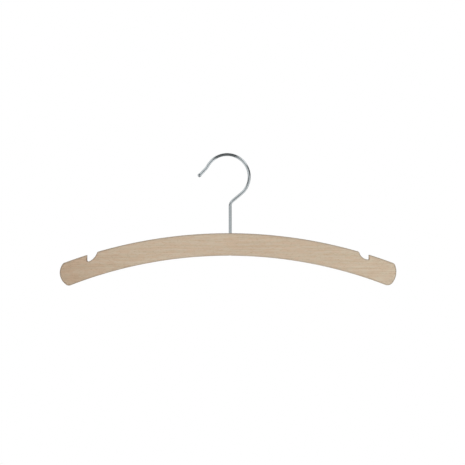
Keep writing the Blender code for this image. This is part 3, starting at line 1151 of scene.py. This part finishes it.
@dataclass
class SwivelFastening:
    """The washer and the nut on the lower end of the wire, up in the counterbore."""

    axis: Array
    washer_top: float = -0.0184
    washer_thickness: float = 0.0008
    washer_radius: float = 0.00429
    washer_bore: float = 0.0022
    washer_round: float = 0.00022
    nut_bottom: float = -0.0227
    nut_height: float = 0.0032
    across_flats: float = 0.0070
    nut_chamfer: float = math.radians(30.0)
    nut_sides: int = 6
    corner_round: float = 0.00012
    thread_radius: float = 0.00216
    thread_height: float = 0.00022
    thread_pitch: float = 0.0007
    mouth_chamfer: float = 0.00035
    sides: int = 144
    round_steps: int = 5
    nut_steps: int = 46

    def washer(self, material: Material) -> Object:
        """A stamped washer: rounded on its upper edges by the punch, and square below.

        Args:
            material: its finish.

        Returns:
            The washer.
        """
        top = self.washer_top
        bottom = top - self.washer_thickness
        turn = np.linspace(QUARTER_TURN, 0, self.round_steps + 1)
        rounded = self.washer_round * ray(turn)
        outer_centre = np.array([self.washer_radius - self.washer_round, top - self.washer_round])
        inner_centre = np.array([self.washer_bore + self.washer_round, top - self.washer_round])
        outer = outer_centre + rounded
        inner = inner_centre + rounded[::-1] * np.array([-1, 1])
        flat = np.array([[self.washer_radius, bottom], [self.washer_bore, bottom]])
        profile = np.concatenate([outer, flat, inner, outer[:1]])
        washer = turned_piece("plain_washer", profile, self.sides, self.axis, material)
        shade(washer)
        return washer

    def nut(self, material: Material) -> Object:
        """A hexagon nut, chamfered at both ends and threaded, with two of its corners on X.

        The outside is the least of the hexagon, f / cos of the angle from the nearest flat, and of
        the chamfer cone, which widens away from each end. The bore is a radius with the thread's
        wave, and opens at each end.

        Args:
            material: the finish of the nut.

        Returns:
            The nut.
        """
        turn = np.linspace(0, FULL_TURN, self.sides, endpoint=False)
        flat_radius = self.across_flats / 2
        sector = FULL_TURN / self.nut_sides
        from_flat = turn % sector - sector / 2
        hexagon = flat_radius / np.cos(from_flat)[None]
        rise = np.linspace(0, self.nut_height, self.nut_steps + 1)[:, None]
        from_end = np.minimum(rise, self.nut_height - rise)
        cone = flat_radius + from_end / math.tan(self.nut_chamfer)
        outside = -smooth_maximum(-hexagon, -cone, self.corner_round)
        opening = np.clip(1 - from_end / self.mouth_chamfer, 0, 1)
        thread = self.thread_radius + self.thread_height * thread_wave(rise, turn, self.thread_pitch)
        inside = smooth_maximum(thread, self.thread_radius + self.mouth_chamfer * opening, self.corner_round)
        radius = np.concatenate([outside, inside[::-1], outside[:1]])
        height = self.nut_bottom + np.concatenate([rise, rise[::-1], rise[:1]])
        nut = closed_piece("hex_nut", turned_rings(radius, height, turn) + self.axis, material)
        shade(nut)
        return nut


# The studio

@dataclass(frozen=True)
class Lamp:
    """A square soft lamp, aimed at the hanger's middle."""

    name: str
    place: Triple
    width: float
    power: float


@dataclass(frozen=True)
class Card:
    """A round soft-edged card or lamp hood that the bright wire mirrors.

    It lies towards a direction from the hanger, and its reach is the angle from there to its edge.
    """

    towards: Triple
    reach: float
    level: float


@dataclass
class Studio:
    """The photograph's view and a plain soft light.

    The camera is level and straight on, with a long lens. Its distance and view width give the
    photograph's scale at the board's front edges. Places count from the middle of the board's top.
    """

    board_top: Triple
    middle: Triple = (0.00558, -0.0042, 0.00086)
    view_width: float = 0.5802
    distance: float = 4.0
    far_clip: float = 16.0
    roll: float = math.radians(-0.0540)
    sensor: float = 0.036
    floor_drop: float = 1.20
    floor_size: float = 9.0
    floor_colour: Colour = (0.86, 0.86, 0.86)
    floor_glow: float = 0.88
    white: Colour = (1.0, 1.0, 1.0)
    fill_above: float = 0.33
    fill_below: float = 0.50
    mirror_tint: Colour = (0.95, 1.0, 1.02)
    room_level: float = 0.61
    card_softness: float = math.radians(2.5)
    cards: tuple[Card, ...] = (
        Card((0.14, -0.51, 0.85), math.radians(40.0), 0.01),
        Card((0.23, 0.92, 0.31), math.radians(46.3), 0.22),
        Card((0.73, -0.49, 0.48), math.radians(26.9), 1.13),
        Card((0.92, -0.34, -0.18), math.radians(41.9), 0.00),
        Card((-0.80, -0.60, -0.02), math.radians(27.6), 0.02),
        Card((-0.72, -0.36, 0.60), math.radians(13.7), 0.99),
        Card((0.07, -0.68, -0.73), math.radians(45.9), 0.11),
        Card((0.82, -0.39, -0.42), math.radians(30.1), 0.93),
        Card((-0.67, -0.62, -0.41), math.radians(27.7), 0.73),
        Card((0.12, -0.93, 0.33), math.radians(18.1), 0.15),
    )
    lamps: tuple[Lamp, ...] = (
        Lamp("left_lamp", (-1.1, -1.8, 0.20), 1.2, 18.6),
        Lamp("right_lamp", (1.2, -1.8, 0.20), 1.2, 20.6),
        Lamp("back_lamp", (0.0, 2.2, 0.0), 1.2, 30.0),
    )

    def in_world(self, place: Triple) -> Array:
        """A place in the world, from one that counts from the middle of the board's top."""
        return np.array(self.board_top) + np.array(place)

    def camera(self) -> None:
        """Adds the camera and makes it the scene's own."""
        lens = bpy.data.cameras.new("portrait_camera")
        lens.type = "PERSP"
        lens.sensor_width = MILLIMETRES_IN_A_METRE * self.sensor
        lens.lens = lens.sensor_width * self.distance / self.view_width
        lens.clip_end = self.far_clip
        camera = linked("portrait_camera", lens)
        upright = Matrix.Rotation(QUARTER_TURN, 4, "X") @ Matrix.Rotation(self.roll, 4, "Z")
        back = np.array([0.0, -self.distance, 0.0])
        camera.matrix_world = Matrix.Translation(self.in_world(self.middle) + back) @ upright
        bpy.context.scene.camera = camera

    def tone(self, level: float) -> tuple[float, float, float, float]:
        """A level of the mirrored room, in its tint."""
        return opaque(tuple(level * part for part in self.mirror_tint))

    def mirrored_room(self, wiring: Wiring) -> NodeSocket:
        """The room as bright metal mirrors it: a plain level, and the cards one after another.

        A card's share rises smoothly from 0 to 1 with the cosine of the angle to its middle.

        Args:
            wiring: the world's wiring.

        Returns:
            Its colour.
        """
        way = wiring.node("TexCoord").outputs["Generated"]
        colour = self.tone(self.room_level)
        for card in self.cards:
            unit = np.array(card.towards) / np.linalg.norm(card.towards)
            nearness = wiring.vector("DOT_PRODUCT", way, unit.tolist())
            outer = math.cos(card.reach + self.card_softness)
            inner = math.cos(card.reach - self.card_softness)
            share = wiring.step(nearness.outputs["Value"], outer, inner)
            colour = wiring.mixed(share, colour, self.tone(card.level))
        return colour

    def world(self) -> None:
        """Lights the hanger from all round, and shows white behind it."""
        world = bpy.data.worlds.new("studio_world")
        bpy.context.scene.world = world
        world.use_nodes = True
        wiring = Wiring(world.node_tree)
        path = wiring.node("LightPath")
        glossy = path.outputs[Seen.GLOSSY.value]
        colour = wiring.mixed(glossy, opaque(self.white), self.mirrored_room(wiring))
        seen = wiring.node("Background", {"Color": colour, "Strength": 1.0})
        height = wiring.node("SeparateXYZ", {"Vector": wiring.node("TexCoord").outputs["Generated"]})
        above = opaque((self.fill_above,) * 3)
        below = opaque((self.fill_below,) * 3)
        fill = wiring.mixed(wiring.step(height.outputs["Z"], -1.0, 1.0), below, above)
        light = wiring.node("Background", {"Color": fill, "Strength": 1.0})
        direct = glossy
        for kind in (Seen.CAMERA, Seen.TRANSMITTED):
            direct = wiring.result_of("MAXIMUM", direct, path.outputs[kind.value])
        both = wiring.mixed_shader(direct, light, seen)
        wiring.node("OutputWorld", {"Surface": both.outputs[0]})

    def floor(self) -> None:
        """Adds a pale floor well below the hanger, out of the photograph's frame.

        Only the camera sees it as pale as the background, and it sees through it from below.
        """
        half = self.floor_size / 2
        height = self.board_top[2] - self.floor_drop
        mesh = bpy.data.meshes.new("studio_floor")
        corners = [(-half, -half), (half, -half), (half, half), (-half, half)]
        mesh.from_pydata([(x, y, height) for x, y in corners], [], [(0, 1, 2, 3)])
        floor = linked("studio_floor", mesh)
        paint, wiring = new_material("floor_paint")
        camera_ray = wiring.node("LightPath").outputs[Seen.CAMERA.value]
        matt = wiring.node("BsdfDiffuse", {"Color": opaque(self.floor_colour)})
        glow = wiring.node("Emission", {"Color": opaque(self.white), "Strength": 1.0})
        share = wiring.result_of("MULTIPLY", camera_ray, self.floor_glow)
        pale = wiring.mixed_shader(share, matt, glow)
        beneath = wiring.node("NewGeometry").outputs["Backfacing"]
        unseen = wiring.result_of("MULTIPLY", camera_ray, beneath)
        wiring.surface(wiring.mixed_shader(unseen, pale, wiring.node("BsdfTransparent")))
        mesh.materials.append(paint)
        floor.visible_glossy = False

    def lights(self) -> None:
        """Adds the lamps, which light the wood and stay out of the mirror of the metal."""
        for lamp in self.lamps:
            light = bpy.data.lights.new(lamp.name, "AREA")
            light.shape = "SQUARE"
            light.size = lamp.width
            light.energy = lamp.power
            thing = linked(lamp.name, light)
            outward = Vector(np.subtract(lamp.place, self.middle))
            thing.rotation_euler = outward.to_track_quat("Z", "Y").to_euler()
            thing.location = self.in_world(lamp.place)
            thing.visible_glossy = False


def main() -> None:
    """Builds the hanger's pieces in order, dresses them, and sets up the studio."""
    logging.basicConfig(level=logging.INFO, format="%(name)s: %(message)s")
    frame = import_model()
    low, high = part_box("board")
    axis_x = frame["joints"][0]["pos_m"][0]
    middle_x = (low.x + high.x) / 2
    top_z = high.z

    grain = LevelGrain().group()
    handling = handling_group()
    faces = SANDED_WOOD.material(grain)
    cuts = CUT_WOOD.material(grain)
    bright = BRIGHT_WIRE.material(handling)
    zinc = ZINC.material(handling)

    board = ArchedBoard(middle_x, top_z, axis_x - middle_x, high.x - low.x).build(faces, cuts)
    hook = WireHook(axis_x, top_z).build(bright)
    fastening = SwivelFastening(np.array([axis_x, 0.0, top_z]))
    washer = fastening.washer(zinc)
    nut = fastening.nut(zinc)

    dressed = [
        (board, "board", "board", "wood"),
        (washer, "board", "washer", "zinc"),
        (hook, "hook", "hook", "bright_wire"),
        (nut, "hook", "nut", "zinc"),
    ]
    for piece, body, node, slot in dressed:
        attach(piece, body)
        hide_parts(node)
        LOG.info("%s rides on %s: %d faces", piece.name, body, len(piece.data.polygons))

    studio = Studio((middle_x, 0.0, top_z))
    bpy.context.scene.view_settings.view_transform = "Standard"
    studio.camera()
    studio.world()
    studio.floor()
    studio.lights()

    LOG.info("The studio is ready")


if __name__ == "__main__":
    main()
